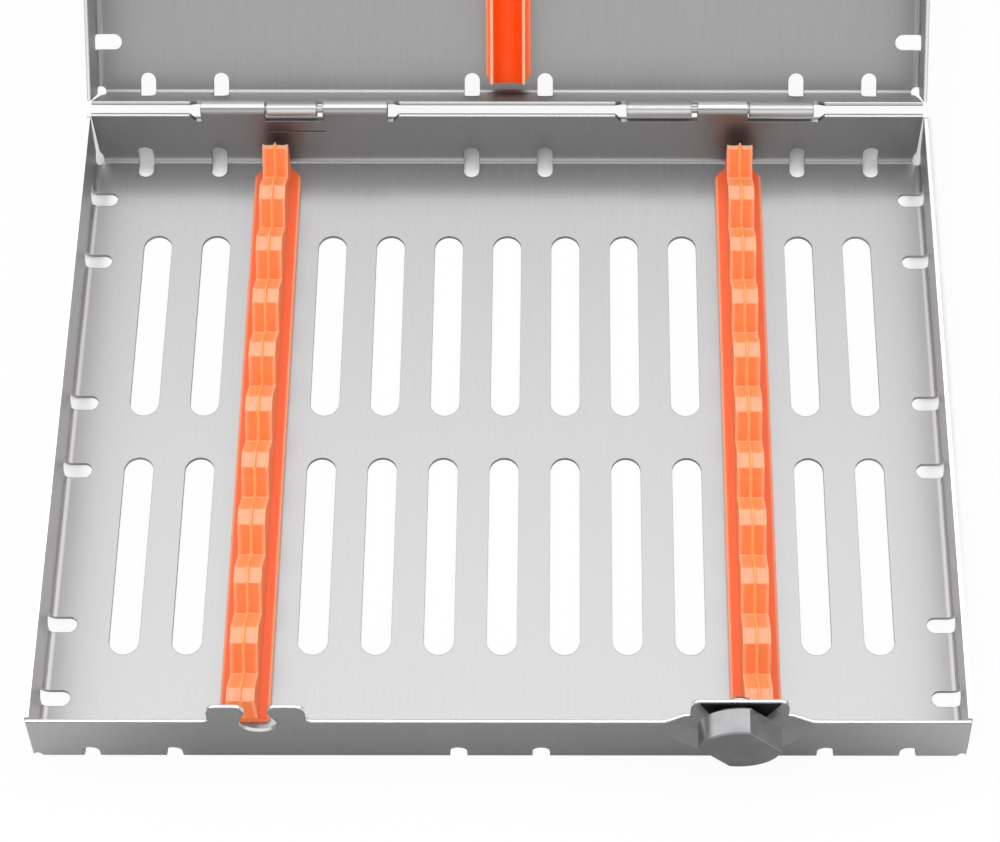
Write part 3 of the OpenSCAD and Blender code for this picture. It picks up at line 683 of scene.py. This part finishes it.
lid_knob_at = lid_turn() @ Vector((LATCH_X * MM, 0, HINGE_Z * MM))
for half, centre, turn in (("base", (LATCH_X * MM, 0, HINGE_Z * MM), 0.0),
                           ("lid", tuple(lid_knob_at), -LID_OPEN)):
    knob_steel = turned_steel(half + " turned steel", centre, KNOB_TINT, turn)
    wear(node[half + "_knob"], knob_steel)
    cap_steel = turned_steel(half + " cap steel", centre, CAP_TINT, turn, CAP_ROUGHNESS)
    wear(node[half + "_rivet_cap"], cap_steel)
    wear(node[half + "_spring_washer"], cap_steel)
pin_steel = turned_steel("drawn pin wire", (0, HINGE_Y * MM, HINGE_Z * MM), PIN_TINT)
for side in ("left", "right"):
    wear(node["hinge_pin_" + side], pin_steel)
print("turned parts finished; lid knob axis passes", [round(v / MM, 1) for v in lid_knob_at])

# %% [markdown]
# ## Black friction plate
# A thin low-friction sheet lies between each knob's neck and its tab. It is matt black
# with a faint moulded mottle.

# %% Material: black friction sheet
DEEP_BLACK = (0.004, 0.004, 0.004, 1)
WORN_BLACK = (0.014, 0.014, 0.014, 1)


def friction_black():
    material, kit = new_material("black friction sheet")
    coords = kit.add("ShaderNodeTexCoord")
    mottle = kit.add("ShaderNodeTexNoise", {"Vector": coords.outputs["Object"],
                                            "Scale": 900.0, "Detail": 4.0})
    colour = kit.mix(mottle.outputs[0], DEEP_BLACK, WORN_BLACK)
    bump = kit.add("ShaderNodeBump", {"Height": mottle.outputs[0], "Strength": 0.25,
                                      "Distance": 0.03 * MM})
    shader = kit.add("ShaderNodeBsdfPrincipled", {
        "Base Color": colour, "Roughness": kit.fade(mottle.outputs[0], 0.3, 0.7, 0.45, 0.6),
        "Specular IOR Level": 0.12, "Normal": bump.outputs[0]})
    finish_nodes(kit, shader)
    return material


black = friction_black()
for half in ("base", "lid"):
    wear(node[half + "_friction_plate"], black)
print("material:", black.name)

# %% [markdown]
# ## Orange silicone
# Silicone is clear enough for light to wander a millimetre or two inside it. Thin lips and the
# strip's edges look pale, partly for that and partly as a painted highlight on their rounded
# edges, and thick places look deep orange. Which way a face looks sets painted light and shade:
# flat tops and crests are pale, slopes that face the front are painted deepest, slopes that face
# the back less deep, and the ridge's sides deep. Low in the lid rail's gutter the colour is a
# deeper red, partly for the thicker silicone there and partly as painted shade in the hollow. The
# front ends carry a painted glow, a little emission of their own colour. The steel shows only a
# dull trace of orange, so the colour that metal mirrors is mixed towards brown.
# The attribute that each rail carries says how high a point stands and how near a lip
# it is, and the normal says which way its face looks.

# %% Material: translucent orange silicone
# Several of these colours carry painted light and shade besides the silicone's thickness, and the
# glow strength is a painted glow.
PALE_LIT_AND_THIN = (1.0, 0.45, 0.27, 1)
FRONT_SLOPE_PAINTED_SHADE = (1.0, 0.24, 0.07, 1)
BACK_SLOPE_PAINTED_SHADE = (1.0, 0.33, 0.12, 1)
STRIP_ORANGE = (1.0, 0.18, 0.06, 1)
STRIP_EDGE_THIN_AND_HIGHLIGHT = (1.0, 0.37, 0.21, 1)
SIDE_PAINTED_SHADE = (1.0, 0.19, 0.06, 1)
FIN_ORANGE = (1.0, 0.38, 0.12, 1)
GUTTER_RED_THICK_AND_SHADED = (1.0, 0.085, 0.0, 1)
MIRRORED_BROWN = (0.10, 0.08, 0.075, 1)
MIRRORED_DULL = 0.75
END_PAINTED_GLOW = 0.5


def silicone(name, ridge_half, lip_w):
    """The strip's and the lips' colours, and a crown colour for each kind of rail."""
    material, kit = new_material(name)
    spot = kit.add("ShaderNodeAttribute", attribute_name="in_rail")
    part = kit.add("ShaderNodeSeparateXYZ", {0: spot.outputs["Vector"]})
    facing = kit.add("ShaderNodeSeparateXYZ",
                     {0: kit.add("ShaderNodeTexCoord").outputs["Normal"]})
    across = kit.math("ABSOLUTE", part.outputs[0])
    ridge = kit.fade(part.outputs[2], STRIP_TOP + 0.1, STRIP_TOP + 0.7)
    lip = kit.fade(across, ridge_half - lip_w - 0.35, ridge_half - lip_w + 0.1)
    if lip_w == LIP:
        # Colour by which way a face looks: pale flat tops, painted shade deepest on front slopes
        # and lighter on back slopes.
        crown = kit.mix(kit.fade(facing.outputs[1], -0.5, -0.12), FRONT_SLOPE_PAINTED_SHADE, PALE_LIT_AND_THIN)
        crown = kit.mix(kit.fade(facing.outputs[1], 0.12, 0.5), crown, BACK_SLOPE_PAINTED_SHADE)
        fin = kit.fade(across, FIN_HALF + 0.25, FIN_HALF)
        # The lips are pale, partly for their thinness and partly as a painted highlight on their
        # rounded edges.
        crown = kit.mix(kit.math("MULTIPLY", lip, 0.5), crown, PALE_LIT_AND_THIN)
        crown = kit.mix(kit.math("MULTIPLY", fin, 0.8), crown, FIN_ORANGE)
    else:
        # Deeper red low in the gutter, partly for the thicker silicone and partly as painted
        # shade in the hollow.
        crown = kit.mix(kit.fade(part.outputs[2], LIP_TOP_Z - 2.2, LIP_TOP_Z - 0.3),
                        GUTTER_RED_THICK_AND_SHADED, PALE_LIT_AND_THIN)
    # The ridge's sides are painted deeper orange: painted shade on faces that look sideways.
    side = kit.fade(kit.math("ABSOLUTE", facing.outputs[0]), 0.75, 0.95)
    crown = kit.mix(kit.math("MULTIPLY", side, kit.fade(across, ridge_half - 0.1, ridge_half)),
                    crown, SIDE_PAINTED_SHADE)
    # The strip's edges are paler, partly for their thinness and partly as a painted highlight on
    # the rounded edge.
    edge = kit.fade(across, STRIP_HALF - 0.7, STRIP_HALF - 0.2)
    coat = kit.mix(ridge, kit.mix(edge, STRIP_ORANGE, STRIP_EDGE_THIN_AND_HIGHLIGHT), crown)
    cloud = kit.add("ShaderNodeTexNoise", {"Vector": spot.outputs["Vector"], "Scale": 0.35,
                                           "Detail": 3.0})
    coat = kit.mix(kit.fade(cloud.outputs[0], 0.3, 0.7, 0.0, 0.08), coat, STRIP_ORANGE)
    skin = kit.add("ShaderNodeTexNoise", {"Vector": spot.outputs["Vector"], "Scale": 7.0,
                                          "Detail": 4.0, "Roughness": 0.6})
    bump = kit.add("ShaderNodeBump", {"Height": skin.outputs[0], "Strength": 0.1,
                                      "Distance": 0.04 * MM})
    mirrored = kit.math("MULTIPLY", kit.add("ShaderNodeLightPath").outputs["Is Glossy Ray"],
                        MIRRORED_DULL)
    coat = kit.mix(mirrored, coat, MIRRORED_BROWN)
    # Faces that look to the front get an emission of their own colour: a painted glow, not a
    # lamp.
    shader = kit.add("ShaderNodeBsdfPrincipled", {
        "Base Color": coat, "Normal": bump.outputs[0],
        "Roughness": kit.fade(skin.outputs[0], 0.3, 0.7, 0.42, 0.55),
        "Subsurface Weight": 0.5, "Subsurface Radius": (1.0, 0.35, 0.12),
        "Subsurface Scale": 1.5 * MM, "IOR": 1.41, "Emission Color": coat,
        "Emission Strength": kit.fade(facing.outputs[1], -0.6, -0.95, 0.0, END_PAINTED_GLOW)})
    finish_nodes(kit, shader)
    return material


wave_silicone = silicone("orange silicone, wave rails", RIDGE_HALF, LIP)
gutter_silicone = silicone("orange silicone, lid rail", LID_RIDGE_HALF,
                           LID_RIDGE_HALF - TROUGH_RADIUS)
wear(lower_rail, wave_silicone)
wear(other_rail, wave_silicone)
wear(lid_rail, gutter_silicone)
print("materials:", wave_silicone.name, "and", gutter_silicone.name)

# %% [markdown]
# ## Studio
# The photograph shows the cassette on pure white, with the steel shaded as if under one
# large light above a darker room. Metal shows what it mirrors, so the world is graded
# from front to back, and only the camera sees it as plain white. The floor is white to
# the camera too, but keeps its true shade close to the side and back walls, where the
# photograph shows grey through the holes in the folds. What the steel mirrors of the
# floor is darker, though less so towards the left and right ends.

# %% Floor
FLOOR_SIZE = 12
FLOOR_SHADE = 0.82
FLOOR_WHITE_SHARE = 0.93
FLOOR_MIRRORED_LESS = 0.44
FLOOR_END_MORE = 0.26
FLOOR_END_X = (55 * MM, 95 * MM)
BACK_BAND_STARTS_Y = (66 * MM, 70 * MM)
SIDE_BAND_STARTS_Y = (-60 * MM, 20 * MM)
BANDS_END_Y = (83.6 * MM, 83 * MM)
SIDE_BAND_STARTS_X = (86 * MM, 89 * MM)
BANDS_END_X = (95 * MM, 93 * MM)


def studio_floor():
    bpy.ops.object.select_all(action="DESELECT")
    bpy.ops.mesh.primitive_plane_add(size=FLOOR_SIZE, location=(0, 0, -0.02 * MM))
    floor = bpy.context.object
    floor.name = "studio_floor"
    material, kit = new_material("white floor")
    path = kit.add("ShaderNodeLightPath")
    place = kit.add("ShaderNodeSeparateXYZ", {0: kit.add("ShaderNodeTexCoord").outputs["Object"]})
    aside = kit.math("ABSOLUTE", place.outputs[0])
    depth = place.outputs[1]
    behind = kit.fade(depth, *BACK_BAND_STARTS_Y)
    beside = kit.math("MULTIPLY", kit.fade(aside, *SIDE_BAND_STARTS_X),
                      kit.fade(depth, *SIDE_BAND_STARTS_Y))
    hidden = kit.math("MAXIMUM", behind, beside)
    for limit in (kit.fade(depth, *BANDS_END_Y), kit.fade(aside, *BANDS_END_X)):
        hidden = kit.math("MULTIPLY", hidden, limit)
    seen = kit.math("MULTIPLY", path.outputs["Is Camera Ray"],
                    kit.math("SUBTRACT", FLOOR_WHITE_SHARE,
                             kit.math("MULTIPLY", hidden, FLOOR_WHITE_SHARE)))
    more = kit.fade(aside, *FLOOR_END_X, 0.0, FLOOR_END_MORE)
    less = kit.math("SUBTRACT", FLOOR_MIRRORED_LESS, more)
    shade = kit.math("SUBTRACT", FLOOR_SHADE,
                     kit.math("MULTIPLY", path.outputs["Is Glossy Ray"], less))
    paint = kit.add("ShaderNodeBsdfDiffuse",
                    {"Color": kit.add("ShaderNodeCombineColor",
                                      {0: shade, 1: shade, 2: shade}).outputs[0]})
    glow = kit.add("ShaderNodeEmission", {"Strength": 1.0})
    both = kit.add("ShaderNodeMixShader", {0: seen, 1: paint.outputs[0], 2: glow.outputs[0]})
    finish_nodes(kit, both)
    wear(floor, material)
    return floor


studio_floor()
print("floor added")

# %% World: white to the eye, graded from front to back
ROOM = ((-1.0, 1.05), (-0.75, 1.05), (-0.58, 0.2), (-0.35, 0.2), (-0.15, 1.3), (0.0, 2.0),
        (0.25, 1.5), (0.42, 1.8), (0.5, 2.5), (0.57, 1.0), (0.65, 0.5), (1.0, 0.5))


def studio_world():
    world = bpy.data.worlds.new("studio")
    bpy.context.scene.world = world
    world.use_nodes = True
    world.node_tree.nodes.clear()
    kit = Nodes(world.node_tree)
    coords = kit.add("ShaderNodeTexCoord")
    way = kit.add("ShaderNodeSeparateXYZ", {0: coords.outputs["Generated"]})
    ramp = kit.add("ShaderNodeValToRGB", {0: kit.math("MULTIPLY_ADD", way.outputs[1], 0.5, 0.5)})
    stops = ramp.color_ramp.elements
    while len(stops) < len(ROOM):
        stops.new(0.5)
    for stop, (depth, shade) in zip(stops, ROOM):
        stop.position = depth / 2 + 0.5
        stop.color = (shade, shade, shade, 1)
    seen = kit.add("ShaderNodeLightPath").outputs["Is Camera Ray"]
    light = kit.mix(seen, ramp.outputs[0], (1, 1, 1, 1))
    back = kit.add("ShaderNodeBackground", {"Color": light, "Strength": 1.0})
    finish_nodes(kit, back, "ShaderNodeOutputWorld")
    return world


studio_world()
print("room graded in", len(ROOM), "steps from front to back")

# %% Soft box
SOFT_BOX_AT = (-0.25, -0.7, 1.1)
SOFT_BOX_SIZE = (1.2, 1.0)
SOFT_BOX_WATTS = 5.0


def soft_box(name, location, size, watts):
    """An area lamp that looks at the middle of the floor. Metal doesn't mirror it."""
    bpy.ops.object.select_all(action="DESELECT")
    bpy.ops.object.light_add(type="AREA", location=location)
    lamp = bpy.context.object
    lamp.name = name
    lamp.data.shape = "RECTANGLE"
    lamp.data.size, lamp.data.size_y = size
    lamp.data.energy = watts
    lamp.rotation_euler = (-Vector(location)).to_track_quat("-Z", "Y").to_euler()
    lamp.visible_glossy = False
    return lamp


soft_box("soft box in front", SOFT_BOX_AT, SOFT_BOX_SIZE, SOFT_BOX_WATTS)
print("soft box of", SOFT_BOX_WATTS, "watts added")
